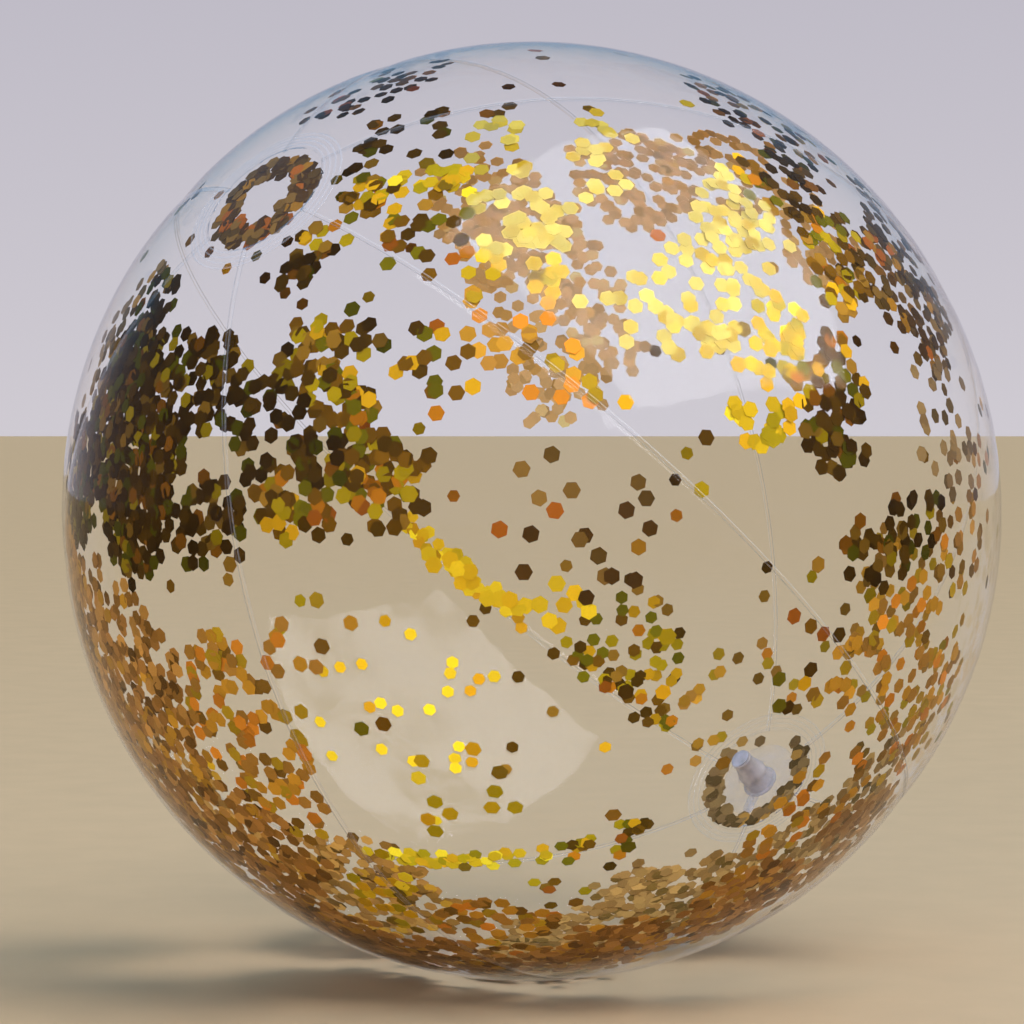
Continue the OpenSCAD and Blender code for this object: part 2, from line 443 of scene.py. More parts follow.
film = {
    "billow": 0.0006,       # how far the middle of a gore stands out
    "seamDip": 0.0003,      # how deep the film lies along a seam
    "dipReach": 0.006,
    "pucker": 0.00008,      # height of the small puckers beside a seam
    "puckerReach": 0.010,
    "puckerWaves": [        # (share, length along the seam, turn from seam to seam, turn across the seam)
        (1.0, 0.0135, 2.1, 1), (0.7, 0.0211, 1.3, -1), (0.5, 0.0074, 3.7, 2),
    ],
    "puckerTurn": 1.7,      # how far the puckers of a seam's two sides are out of step, in radians
    "turnReach": 0.003,
    "patchLength": 0.083,   # the puckers come and go along the seam over this length
    "capFade": (0.17, 0.42),    # radians from a pole between which all of this fades in
    "lapWidth": 0.0016,
    "lapStep": 0.00036,     # how far a lap lies under the next gore
    "lapFade": (-0.0012, -0.0001),      # metres before the next seam where it goes under
    "knurlHeight": 0.00001,
    "tipHole": 0.024,       # radius of the hole that the gore tips leave
    "flatRound": 0.00025,   # how softly the film is pressed flat on the floor
    "edgeSteps": [0, 0.0003, 0.0007, 0.0011, 0.0016, 0.0022, 0.0035, 0.0055, 0.009, 0.013],
    "lapSteps": [0.3, 0.65, 1.0],
    "rows": 260,
    "columns": 16,
}


def filmRadius(angle, colat):
    # Outer radius of the film: the ball's radius, plus a billow that is highest between two seams, minus a
    # soft valley exp(-(distance / reach)^2) along each seam, plus puckers that die away from the seam as
    # exp(-distance / reach) times three sines of the way along it. All of it fades out under the pole caps.
    across = (angle - firstSeam) / goreAngle
    nearest = np.round(across)
    u = across - np.floor(across)
    seam = np.mod(nearest, ball["gores"])
    along = ball["radius"] * colat * 2 * math.pi
    beside = ball["radius"] * np.sin(colat) * (across - nearest) * goreAngle
    clearOfCaps = fade(colat, *film["capFade"]) * fade(math.pi - colat, *film["capFade"])
    bulge = film["billow"] * (1 - (2 * u - 1) ** 2)
    valley = film["seamDip"] * np.exp(-(beside / film["dipReach"]) ** 2)
    side = film["puckerTurn"] * np.sign(beside) * np.minimum(np.abs(beside) / film["turnReach"], 1)
    waves = sum(share * np.sin(along / length + turn * seam + cross * side)
                for share, length, turn, cross in film["puckerWaves"])
    patchy = 0.55 + 0.45 * np.sin(along / film["patchLength"] + 2.9 * seam)
    puckers = film["pucker"] * waves * patchy * np.exp(-np.abs(beside) / film["puckerReach"])
    return ball["radius"] + clearOfCaps * (bulge - valley + puckers)


def pressedFlat(points, height):
    # film below a height is pressed up to it: height + soft * ln(1 + exp((z - height) / soft))
    soft = film["flatRound"]
    z = points[..., 2]
    points[..., 2] = height + soft * np.logaddexp(0, (z - height) / soft)
    return points


def finishPiece(piece, material, body, node):
    # material, the body that the piece moves with, and the CAD node that it stands for, which it hides
    piece.data.materials.append(material)
    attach(piece, body)
    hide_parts(node)


def goreSheet(k):
    # The film's outer radius on a grid. The turn runs from this gore's seam to the next one and on across
    # the lap, with close steps beside each seam, and colat runs from one tip hole to the other. The lap is
    # stepped inwards, so that it lies under the next gore.
    start = firstSeam + (k - 1) * goreAngle
    tip = math.asin(film["tipHole"] / ball["radius"])
    colat = np.linspace(tip, math.pi - tip, film["rows"])[:, None]
    reach = ball["radius"] * np.sin(colat)
    edge = np.array(film["edgeSteps"])
    fromStart = edge[None, :] / reach
    low, high = edge[-1] / reach, goreAngle - edge[-1] / reach
    middle = low + (high - low) * np.linspace(0, 1, film["columns"])[None, 1:-1]
    toSeam = goreAngle - edge[None, ::-1] / reach
    overLap = goreAngle + film["lapWidth"] / reach * np.array([film["lapSteps"]])
    turn = np.concatenate([fromStart, middle, toSeam, overLap], 1)
    turn = np.maximum.accumulate(turn, 1)
    angle = start + turn
    past = (turn - goreAngle) * reach
    radius = filmRadius(angle, colat) - film["lapStep"] * fade(past, *film["lapFade"])
    points = placed(angle, np.broadcast_to(colat, angle.shape), radius)
    if k == ball["gores"]:
        points = pressedFlat(points, 0.0)
    uv = np.stack([turn * reach, np.broadcast_to(colat * ball["radius"], turn.shape)], -1)
    name = f"film_gore_{k}"
    piece = meshPiece(name, points.reshape(-1, 3), gridFaces(*turn.shape), uv.reshape(-1, 2))
    solidify(piece, ball["filmThick"])
    finishPiece(piece, goreFilm, "ball", f"gore_{k}")


goreFilm = clearFilm("clearGoreFilm", filmLook)
for k in range(1, ball["gores"] + 1):
    goreSheet(k)
print("film gores made:", ball["gores"])

cap = {
    "radius": 0.032,
    "rings": [0.0316, 0.0295, 0.0274, 0.0253],   # radii of the ring welds
    "ringWidth": 0.0009,
    "ringHeight": 0.00022,
    "lift": 0.00034,        # how far the cap's outside stands off the gores
    "stemHole": 0.0064,
    "slowRipple": 0.00007,  # heights of two ripples, with 5 and 11 crests around the disc
    "edgeRipple": 0.00005,
    "rippleStep": 0.0035,
    "ringsFrom": 0.0235,    # the grid is finer from here outwards
    "ringRows": 44,
    "innerRows": 16,
    "steps": 180,
}


def capSheet(name, node, side, hole, material):
    # A disc of film over the gore tips: the ball's radius plus a lift, plus a round ridge
    # height * exp(-((r - ring) / half width)^2) at each ring weld, and slow ripples around the disc.
    fine = np.linspace(cap["ringsFrom"], cap["radius"], cap["ringRows"])
    inner = np.linspace(hole, cap["ringsFrom"], cap["innerRows"])[:-1]
    r = np.concatenate([inner, fine])[:, None]
    t = np.linspace(0, 2 * math.pi, cap["steps"], endpoint=False)[None, :]
    ridge = sum(cap["ringHeight"] * np.exp(-((r - ring) / (cap["ringWidth"] / 2)) ** 2)
                for ring in cap["rings"])
    ripple = (cap["slowRipple"] * np.sin(5 * t + 1.1) * np.sin(r / cap["rippleStep"])
              + cap["edgeRipple"] * np.sin(11 * t) * fade(r, 0.02, 0.03))
    radius = ball["radius"] + cap["lift"] + ridge + ripple
    colat = np.arcsin(r / ball["radius"]) * np.ones_like(t)
    points = placed(t * side * np.ones_like(r), colat if side > 0 else math.pi - colat, radius)
    uv = np.stack([r * np.ones_like(t), t / (2 * math.pi) * np.ones_like(r)], -1).reshape(-1, 2)
    piece = meshPiece(name, points.reshape(-1, 3), gridFaces(len(r), cap["steps"], True), uv)
    cleanUp(piece)
    solidify(piece, ball["filmThick"])
    finishPiece(piece, material, "ball", node)


capLook = dict(filmLook, hazeLow=0.010, hazeHigh=0.030, ripple=0.0006, ringShare=0.20)
endCapFilm = clearFilm("endCapFilm", capLook, welded=False)
valveCapFilm = clearFilm("valveCapFilm", dict(capLook, ringShare=0.08), welded=False)
capSheet("film_end_cap", "end_cap", 1, 0, endCapFilm)
capSheet("film_valve_cap", "valve_cap", -1, cap["stemHole"], valveCapFilm)
print("pole caps made")

# The valve, in metres. Depths and heights count from the ball's surface on the valve's axis.
valve = {
    "flangeRadius": 0.017,
    "flangeThick": 0.0008,
    "skirtLength": 0.005,
    "skirtRadius": 0.008,
    "skirtTip": 0.007,      # outer radius at the skirt's inner end
    "flangeThinFrom": 0.012,    # the flange thins from here out to its edge
    "stemRadius": 0.006,
    "stemTipRadius": 0.0044,
    "boreRadius": 0.0026,
    "stemLength": 0.015,
    "waistDepth": 0.0035,   # where the stem is a little narrower
    "waistIn": 0.0002,
    "taperStart": 0.006,
    "taperEnd": 0.011,
    "lipRadius": 0.0074,
    "lipLow": 0.00045,
    "lipThick": 0.001,
    "plugHeadRadius": 0.0054,
    "plugHeadHeight": 0.0018,
    "plugDish": 0.0030,     # radius of the hollow in its head
    "plugLength": 0.007,
    "tetherWidth": 0.003,
    "tetherHalfThick": 0.0004,
    "tetherReach": 0.013,
    "flapRadius": 0.0038,
    "flapThick": 0.0005,
    "rounding": 0.0004,     # of every moulded edge
    "steps": 72,
}


vinylLook = {
    "flowScale": 160,       # mould flow marks, in noise cells to a metre
    "flowDark": 0.82,       # how dark the marks are, as a share of the colour
    "peelScale": 1500,      # fine orange peel
    "peelShare": 0.2,
    "roughness": (0.28, 0.45),
    "bump": 0.35,
    "bumpHeight": 0.0003,
    "glow": 0.25,           # share of light that spreads inside the vinyl
    "glowReach": (0.004, 0.004, 0.005),
}


def softVinyl(name, colour, solidLow, solidHigh):
    # translucent soft vinyl: mould flow marks in its colour, gloss and clearness, and a fine orange peel
    look = vinylLook
    material, tree, out = newMaterial(name)
    point = objectPoint(tree)
    flow = noise(tree, point, look["flowScale"], 3)
    fine = noise(tree, point, look["peelScale"], 2)
    height = calculate(tree, "ADD", flow, calculate(tree, "MULTIPLY", fine, look["peelShare"]))
    darker = tuple(c * look["flowDark"] for c in colour)
    principled(tree, out.inputs["Surface"],
               Base_Color=ramp(tree, flow, [(0.3, darker), (0.7, colour)]),
               Roughness=mapRange(tree, flow, 0.3, 0.7, *look["roughness"]),
               Alpha=mapRange(tree, flow, 0.3, 0.7, solidLow, solidHigh),
               Normal=bumpFrom(tree, height, look["bump"], look["bumpHeight"]),
               Subsurface_Weight=look["glow"], Subsurface_Radius=look["glowReach"])
    return material


stemVinyl = softVinyl("lavenderVinyl", (0.58, 0.51, 0.53), 0.4, 0.62)
tetherVinyl = softVinyl("tetherVinyl", (0.62, 0.57, 0.60), 0.18, 0.32)
flangeVinyl = softVinyl("flangeVinyl", (0.62, 0.62, 0.76), 0.06, 0.14)
flapFilm = softVinyl("flapFilm", (0.62, 0.62, 0.76), 0.3, 0.5)


def sphereDrop(r):
    # how far the ball's surface falls away at r from the valve's axis: sqrt(R^2 - r^2) - R, as a height
    return np.sqrt(ball["radius"] ** 2 - r ** 2) - ball["radius"]


def makeFlange():
    # a dished washer under the cap that thins out to its welded edge, and the skirt that guides the stem
    hole, edge, thick = cap["stemHole"], valve["flangeRadius"], valve["flangeThick"]
    outside = np.linspace(hole, edge, 12)
    inside = np.linspace(edge, valve["skirtRadius"] + 0.0006, 10)
    low = -valve["skirtLength"]
    profile = [(r, sphereDrop(r)) for r in outside]
    thinned = thick * (1 - 0.6 * fade(inside, valve["flangeThinFrom"], edge))
    profile += list(zip(inside, sphereDrop(inside) - thinned))
    profile += [(valve["skirtRadius"] + 0.0001, -thick - 0.0008), (valve["skirtTip"], low + 0.0003),
                (valve["skirtTip"] - 0.0003, low), (hole + 0.0001, low), (hole, low + 0.0002)]
    profile += [profile[0]]
    piece = lathe("valve_flange_disc", profile, 96, atValve)
    finishPiece(piece, flangeVinyl, "ball", "valve_flange")


def makeStem():
    # one closed profile: lip, body with a slight waist, taper, narrow inner end with a soft bead, and bore
    low = -valve["stemLength"]
    wall, bore = valve["stemRadius"], valve["boreRadius"]
    lip, tip = valve["lipRadius"], valve["stemTipRadius"]
    lipLow = valve["lipLow"]
    lipTop = lipLow + valve["lipThick"]
    corners = [
        (bore, low / 2), (bore, lipTop), (lip, lipTop), (lip, lipLow), (wall, lipLow), (wall, -0.001),
        (wall - valve["waistIn"], -valve["waistDepth"]), (wall, -valve["taperStart"]),
        (tip, -valve["taperEnd"]),
        (tip - 0.0003, low + 0.002), (tip, low + 0.0008), (tip, low), (bore, low), (bore, low / 2),
    ]
    piece = lathe("valve_stem_tube", roundedProfile(corners, valve["rounding"]), valve["steps"], atValve)
    finishPiece(piece, stemVinyl, "stem", "valve_stem")


def makePlug():
    # a tapered shank under a dished head; both ends of the profile lie on the axis
    base = valve["lipLow"] + valve["lipThick"] + 0.00005
    shank, head = valve["boreRadius"] - 0.00005, valve["plugHeadRadius"]
    end = base - valve["plugLength"]
    top = base + valve["plugHeadHeight"]
    corners = [
        (0, top - 0.0003), (valve["plugDish"], top - 0.0003), (head - 0.0012, top),
        (head, top - 0.0003), (head, base), (shank, base), (shank, end + 0.0015),
        (shank - 0.0009, end), (0, end),
    ]
    piece = lathe("valve_plug_body", roundedProfile(corners, valve["rounding"]), valve["steps"], atValve)
    finishPiece(piece, stemVinyl, "plug", "valve_plug")


def makeTether():
    # A folded strap: a squared circle |x|^6 + |y|^6 = 1 carried along a path that leaves the lip, turns back
    # in a half circle and reaches the plug's head. It narrows a little in the middle of each leg.
    top = valve["lipLow"] + valve["lipThick"] + valve["plugHeadHeight"] - 0.00055
    bottom = valve["lipLow"] + 0.0001
    foldRadius = (top - bottom) / 2
    reach = valve["tetherReach"]
    turn = np.linspace(-math.pi / 2, math.pi / 2, 14)
    lowLeg = np.linspace(valve["lipRadius"] - 0.0002, reach, 14)[:-1]
    highLeg = np.linspace(reach, valve["plugHeadRadius"] - 0.0004, 16)[1:]
    x = np.concatenate([lowLeg, reach + foldRadius * np.cos(turn), highLeg])
    z = np.concatenate([np.full(len(lowLeg), bottom), (top + bottom) / 2 + foldRadius * np.sin(turn),
                        np.full(len(highLeg), top)])
    path = np.stack([x, z], -1)
    tangent = np.gradient(path, axis=0)
    tangent /= np.linalg.norm(tangent, axis=1)[:, None]
    across = np.stack([-tangent[:, 1], tangent[:, 0]], -1)
    corner = np.linspace(0, 2 * math.pi, 17)[:-1]
    squared = (np.cos(corner) ** 6 + np.sin(corner) ** 6) ** (-1 / 6)
    side, thick = np.cos(corner) * squared, np.sin(corner) * squared * valve["tetherHalfThick"]
    narrow = 1 - 0.12 * np.sin(np.linspace(0, 1, len(path)) * math.pi * 2) ** 2
    px = path[:, 0:1] + across[:, 0:1] * thick
    pz = path[:, 1:2] + across[:, 1:2] * thick
    py = narrow[:, None] * side[None, :] * valve["tetherWidth"] / 2
    points = np.stack([px, py, pz], -1).reshape(-1, 3)
    piece = meshPiece("plug_tether_strap", atValve(points), gridFaces(len(path), len(corner), True))
    piece.data.materials.append(tetherVinyl)
    cleanUp(piece, turnOut=True, closeEnds=len(corner))
    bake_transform(piece)
    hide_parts("plug_tether")


def makeFlap():
    # A thin disc, dished by 0.2 mm * (1 - rim^2), that runs out by hingeRun * cos^3 on one side to its film
    # hinge at the stem's edge
    t = np.linspace(0, 2 * math.pi, 64, endpoint=False)
    rim = np.linspace(0, 1, 9)[:, None]
    hingeRun = valve["stemTipRadius"] - valve["flapRadius"]
    x = rim * (valve["flapRadius"] * np.cos(t) + hingeRun * np.clip(np.cos(t), 0, 1) ** 3)
    y = rim * valve["flapRadius"] * np.sin(t) * (1 - 0.12 * fade(np.cos(t), 0.2, 1.0))
    z = -valve["stemLength"] - 0.0003 - 0.0002 * (1 - rim ** 2) * np.ones_like(x)
    points = np.stack([x, y, z], -1).reshape(-1, 3)
    piece = meshPiece("check_flap_tongue", atValve(points), gridFaces(len(rim), len(t), True))
    cleanUp(piece)
    solidify(piece, valve["flapThick"] * 0.8)
    finishPiece(piece, flapFilm, "flap", "check_flap")


makeFlange()
makeStem()
makePlug()
makeTether()
makeFlap()
print("valve made")

flake = {
    "acrossCorners": 0.0059,
    "sizeVary": (0.96, 1.03),
    "thick": 0.00009,
    "lattice": 50000,        # places on the wall where a flake may cling
    "jitter": 0.0014,
    "tilt": 4.0,             # degrees that a clinging flake may lean
    "wallGap": 0.00045,      # between the film and the outermost layer's middle
    "floorGap": 0.0011,      # the same on the flat that the ball stands on
    "capGap": 0.001,         # the wall's flakes start this far inside a pole cap's edge
    "layers": 5,
    "layerStep": 0.00013,
    "clump": 0.30,           # how strongly flakes gather in small clumps
    "clumpSize": 0.017,
    "seed": 11,
}

# Flake colours with light and shade painted in: all flakes are one gold, and the darker and brighter tones
# paint the shade and highlights that they show where they lie, as (share of the flakes, red, green, blue)
foilPaintedLightTones = {
    # painted shade: flakes darkened as if they faced dark surroundings
    "dark": [
        (0.40, 0.21, 0.13, 0.01), (0.24, 0.29, 0.19, 0.02), (0.14, 0.29, 0.26, 0.01),
        (0.06, 0.45, 0.27, 0.04), (0.10, 0.44, 0.31, 0.08), (0.06, 0.52, 0.42, 0.03),
    ],
    "mixed": [
        (0.20, 0.32, 0.21, 0.02), (0.20, 0.44, 0.29, 0.04), (0.14, 0.42, 0.37, 0.03),
        (0.15, 0.66, 0.54, 0.05), (0.12, 0.58, 0.41, 0.12), (0.11, 0.82, 0.60, 0.08),
        (0.05, 0.70, 0.42, 0.06), (0.03, 0.60, 0.32, 0.07),
    ],
    "gold": [
        (0.36, 0.76, 0.61, 0.09), (0.20, 0.66, 0.56, 0.07), (0.20, 0.82, 0.61, 0.09),
        (0.10, 0.46, 0.35, 0.07), (0.14, 0.92, 0.79, 0.16),
    ],
    # painted highlight: flakes lightened as if they caught the bright sky above
    "paintedHighlight": [(0.62, 0.73, 0.64, 0.28), (0.28, 0.71, 0.60, 0.20), (0.10, 0.68, 0.55, 0.12)],
    "yellow": [(0.55, 0.93, 0.76, 0.13), (0.30, 0.88, 0.68, 0.10), (0.15, 0.80, 0.57, 0.09)],
    "amber": [
        (0.30, 0.78, 0.55, 0.16), (0.24, 0.66, 0.46, 0.18), (0.16, 0.82, 0.50, 0.14),
        (0.18, 0.70, 0.55, 0.12), (0.12, 0.50, 0.35, 0.11),
    ],
    "brown": [
        (0.34, 0.66, 0.45, 0.20), (0.26, 0.56, 0.38, 0.15), (0.20, 0.76, 0.54, 0.25),
        (0.12, 0.76, 0.54, 0.15), (0.08, 0.42, 0.28, 0.10),
    ],
    "sunk": [
        (0.40, 0.68, 0.50, 0.27), (0.30, 0.59, 0.42, 0.21), (0.20, 0.75, 0.56, 0.30),
        (0.10, 0.48, 0.35, 0.15),
    ],
    "tan": [(0.60, 0.96, 0.78, 0.54), (0.25, 0.88, 0.70, 0.46), (0.15, 0.90, 0.70, 0.40)],
    "dusk": [
        (0.40, 0.52, 0.40, 0.25), (0.30, 0.60, 0.47, 0.29), (0.20, 0.39, 0.30, 0.17),
        (0.10, 0.68, 0.50, 0.24),
    ],
    "umber": [
        (0.36, 0.30, 0.19, 0.05), (0.26, 0.38, 0.27, 0.10), (0.20, 0.50, 0.36, 0.15),
        (0.10, 0.62, 0.42, 0.10), (0.08, 0.64, 0.34, 0.08),
    ],
}
toneVary = 0.13    # how far one flake's brightness may lie from its tone's

foilLook = {
    "metallic": 0.12,
    "scratchScale": 2600,   # noise cells to a metre
    "scratchDark": 0.82,
    "roughness": (0.40, 0.52),
    "bump": 0.25,
    "bumpHeight": 0.00005,
}

# Where the glitter clings: angle around the pole axis, angle from the plain pole, half length and half width
# on the wall, all in degrees, how full it is, its tones, which paint the light and shade on its flakes, and
# the turn of its length in degrees where that doesn't point at the pole
drifts = [
    (-30, 30, 13, 8, 1, "dark"), (-12, 36, 11, 8, 1, "dark"), (2, 24, 6, 7, 0.66, "dark"),
    (8, 40, 5, 6, 0.45, "dark"), (-22, 22, 4, 8, 0.55, "dark"), (-45, 20, 7, 4, 0.35, "dark"),
    (-52, 25, 12, 5, 0.26, "dusk"), (-40, 43, 7, 9, 1, "dark"), (-40, 56, 9, 9, 1, "brown"),
    (-28, 56, 8, 9, 0.62, "brown"), (-12, 62, 14, 9, 0.46, "brown"), (6, 66, 14, 9, 0.36, "amber"),
    (-25, 70, 12, 7, 0.66, "brown"), (-17, 84, 9, 7, 0.75, "brown"), (-2, 81, 10, 9, 0.6, "brown"),
    (-7, 103, 13, 13, 1, "brown"), (13, 92, 6, 6, 0.2, "gold"), (24, 31, 8, 5, 0.3, "dark"),
    (24, 40, 4, 5, 0.42, "mixed"), (36, 33, 10, 5.5, 0.42, "dark"), (44, 30, 9, 5, 0.46, "mixed"),
    (44, 43, 6, 5, 0.56, "mixed"), (34, 43, 4, 4, 0.36, "mixed"), (52, 28, 5, 4, 0.26, "dark"),
    (55, 15, 3, 4, 0.4, "dark"), (45, 55, 6, 1, 0.36, "yellow", 20), (48, 60, 7, 1, 0.36, "yellow", 25),
    (53, 66, 4, 2.5, 0.16, "yellow"), (62, 36, 6, 4, 0.14, "mixed"), (78, 14, 4, 5, 0.42, "mixed"),
    (92, 15, 5, 5, 0.3, "mixed"), (88, 24, 6, 6, 0.28, "mixed"), (101, 22, 6, 5, 0.28, "gold"),
    (112, 15, 5, 6, 0.18, "dark"), (126, 20, 8, 8, 0.13, "dark"), (86, 36, 5, 5, 0.26, "gold"),
    (97, 33, 6, 6, 0.33, "paintedHighlight"), (112, 29, 4, 6, 0.24, "paintedHighlight"), (122, 28, 3, 4, 0.34, "paintedHighlight"),
    (117, 40, 4, 8, 0.22, "paintedHighlight"), (89, 48, 6, 5, 0.18, "paintedHighlight"), (98, 56, 6, 9, 0.33, "paintedHighlight"),
    (112, 57, 6, 8, 0.3, "paintedHighlight"), (121, 60, 5, 5, 0.34, "mixed"), (97, 65, 5, 5, 0.42, "gold"),
    (89, 67, 5, 5, 0.42, "gold"), (97, 72, 6, 6, 0.42, "mixed"), (93, 76, 5, 6, 0.56, "dark"),
    (125, 63, 4, 7, 0.45, "dark"), (114, 70, 6, 8, 0.34, "mixed"), (119, 82, 9, 9, 0.3, "umber"),
    (86, 89, 6, 6, 0.26, "dark"), (92, 93, 4, 7, 0.26, "dark"), (71, 91, 4, 7, 0.14, "mixed"),
    (86, 103, 8, 11, 0.13, "amber"), (79, 114, 8, 10, 0.19, "amber"), (96, 104, 5, 6, 0.08, "brown"),
    (76, 97, 6, 7, 0.16, "amber"), (106, 101, 9, 8, 0.04, "brown"), (106, 92, 9, 9, 0.12, "dusk"),
    (22, 52, 7, 8, 0.06, "amber"), (60, 62, 11, 9, 0.06, "umber"), (76, 42, 10, 5, 0.14, "amber"),
    (20, 100, 8, 9, 0.27, "amber"), (27, 113, 8, 9, 0.8, "brown"), (45, 118, 8, 9, 0.72, "brown"),
    (60, 109, 7, 9, 0.18, "amber"), (61, 123, 7, 9, 0.55, "sunk"), (30, 78, 8, 7, 0.04, "gold"),
    (214, 94, 22, 9, 0.4, "tan"), (193, 88, 9, 9, 0.42, "tan"), (224, 112, 6, 5, 0.3, "tan"),
    (178, 90, 9, 9, 0.25, "tan"), (170, 102, 9, 7, 0.22, "tan"), (253.5, 104, 7, 3, 0.33, "mixed"),
    (253.5, 122, 14, 1.6, 0.6, "yellow"), (252, 152, 11, 2.4, 0.44, "mixed"),
    (314, 137, 16, 1.5, 0.5, "gold"), (312, 160, 7, 2, 0.52, "mixed"), (240, 148, 9, 8, 0.15, "mixed"),
    (284, 128, 13, 16, 0.024, "yellow"), (110, 152, 12, 15, 0.14, "amber"),
    (150, 150, 11, 11, 0.12, "amber"), (133, 131, 9, 8, 0.07, "brown"), (149, 101, 15, 9, 0.22, "dusk"),
    (165, 78, 12, 9, 0.16, "mixed"), (207, 45, 8, 10, 0.14, "umber"), (350, 141, 9, 8, 0.62, "sunk"),
    (2, 154, 9, 13, 0.62, "sunk"), (38, 160, 8, 15, 0.55, "sunk"), (325, 122, 12, 11, 0.5, "brown"),
    (10, 108, 9, 7, 0.8, "brown"), (325, 152, 7, 8, 0.12, "mixed"), (318, 86, 20, 9, 0.42, "brown"),
    (200, 165, 8, 20, 0.07, "amber"), (75, 155, 8, 13, 0.34, "sunk"),
]
strays = {"fill": 0.005, "tone": "mixed"}    # lone flakes anywhere on the wall


def daylight(colour):
    # a colour as seen on a screen, in the light-linear numbers that shaders read
    c = np.asarray(colour, float)
    return np.where(c <= 0.04045, c / 12.92, ((c + 0.055) / 1.055) ** 2.4)


def pickTones(name, count, rng):
    # a colour for each flake, by the shares of one tone list, each a little brighter or darker
    rows = np.array(foilPaintedLightTones[name])
    which = rng.choice(len(rows), count, p=rows[:, 0] / rows[:, 0].sum())
    light = np.exp(toneVary * rng.normal(0, 1, count))
    return np.clip(daylight(rows[which, 1:]) * light[:, None], 0, 1)


def foilMaterial(name):
    # each flake's colour, with its light and shade painted in, from its colour attribute, and a fine scratch
    # in colour, gloss and bump
    look = foilLook
    material, tree, out = newMaterial(name)
    own = tree.nodes.new("ShaderNodeAttribute")
    own.attribute_name = "foilPaintedLight"
    scratch = noise(tree, objectPoint(tree), look["scratchScale"], 2)
    worn = ramp(tree, scratch, [(0.25, (look["scratchDark"],) * 3), (0.75, (1, 1, 1))])
    principled(tree, out.inputs["Surface"],
               Base_Color=mixColour(tree, 1.0, own.outputs["Color"], worn, "MULTIPLY"),
               Roughness=mapRange(tree, scratch, 0.3, 0.7, *look["roughness"]),
               Normal=bumpFrom(tree, scratch, look["bump"], look["bumpHeight"]),
               Metallic=look["metallic"], Specular_IOR_Level=0.0)
    return material


goldFoil = foilMaterial("goldFoil")


def wallPlaces(rng):
    # a Fibonacci lattice over the whole wall, each place moved a little
    n = flake["lattice"]
    i = np.arange(n) + 0.5
    colat = np.arccos(1 - 2 * i / n)
    angle = i * math.pi * (3 - math.sqrt(5))
    step = flake["jitter"] / ball["radius"]
    colat = np.clip(colat + rng.normal(0, step, n), 0.001, math.pi - 0.001)
    angle = angle + rng.normal(0, step, n) / np.maximum(np.sin(colat), 0.05)
    return np.mod(angle, 2 * math.pi), colat


def clumping(angle, colat, rng):
    # a smooth random field over the wall: the sum of twelve plane waves, about -1.5 to 1.5
    place = direction(angle, colat) * ball["radius"]
    waves = rng.normal(0, 1, (12, 3))
    lengths = flake["clumpSize"] * rng.uniform(0.6, 1.8, 12)
    waves *= (2 * math.pi / lengths / np.linalg.norm(waves, axis=1))[:, None]
    phase = rng.uniform(0, 2 * math.pi, 12)
    return np.sin(place @ waves.T + phase).sum(1) / math.sqrt(6)


def driftShare(angle, colat, drift):
    # Share of places that a drift fills: its fill inside its ellipse, falling to 0 past the edge. Offsets on
    # the wall are (angle difference * sin colat, colat difference), turned by the drift's turn.
    heading, fromPole, halfLength, halfWidth, fill, _, *turn = drift
    away = np.mod(angle - math.radians(heading) + math.pi, 2 * math.pi) - math.pi
    x = np.degrees(away * np.sin(colat))
    y = np.degrees(colat) - fromPole
    a = math.radians(turn[0] if turn else 0)
    length = y * math.cos(a) + x * math.sin(a)
    width = x * math.cos(a) - y * math.sin(a)
    return fill * (1 - fade(np.hypot(length / halfLength, width / halfWidth), 0.72, 1.22))


def hexPrisms(centres, axisX, axisY, axisZ, size, thick):
    # twelve corners for each flake, around its own three axes
    corner = np.arange(6) * math.pi / 3
    ring = np.cos(corner)[None, :, None] * axisX[:, None, :]
    ring = ring + np.sin(corner)[None, :, None] * axisY[:, None, :]
    ring = ring * size[:, None, None] / 2
    lift = axisZ[:, None, :] * thick / 2
    points = np.concatenate([centres[:, None] + ring - lift, centres[:, None] + ring + lift], 1)
    return points.reshape(-1, 3)


def flakePiece(name, points, colours, body, node):
    # all the flakes of one node in one mesh: two hexagons and six sides each, flat shaded
    count = len(colours)
    mesh = bpy.data.meshes.new(name)
    base = np.arange(count)[:, None] * 12
    bottom = base + np.array([5, 4, 3, 2, 1, 0])
    top = base + np.array([6, 7, 8, 9, 10, 11])
    side = np.array([[i, (i + 1) % 6, (i + 1) % 6 + 6, i + 6] for i in range(6)]).ravel()
    loops = np.concatenate([bottom, top, base + side], 1).ravel()
    lengths = np.array([6, 6, 4, 4, 4, 4, 4, 4])
    starts = np.concatenate([[0], np.cumsum(lengths)[:-1]])
    loopStart = (np.arange(count)[:, None] * lengths.sum() + starts).ravel()
    mesh.vertices.add(count * 12)
    mesh.vertices.foreach_set("co", points.astype(np.float32).ravel())
    mesh.loops.add(len(loops))
    mesh.loops.foreach_set("vertex_index", loops.astype(np.int32))
    mesh.polygons.add(count * 8)
    mesh.polygons.foreach_set("loop_start", loopStart.astype(np.int32))
    mesh.update(calc_edges=True)
    mesh.validate()
    mesh.polygons.foreach_set("use_smooth", np.zeros(count * 8, bool))
    # each flake's colour, with its light and shade painted in
    foilPaintedLight = mesh.attributes.new("foilPaintedLight", "FLOAT_COLOR", "POINT")
    rgba = np.concatenate([colours, np.ones((count, 1))], 1)
    foilPaintedLight.data.foreach_set("color", np.repeat(rgba, 12, axis=0).astype(np.float32).ravel())
    piece = bpy.data.objects.new(name, mesh)
    bpy.context.scene.collection.objects.link(piece)
    finishPiece(piece, goldFoil, body, node)
    print(name, count, "flakes")


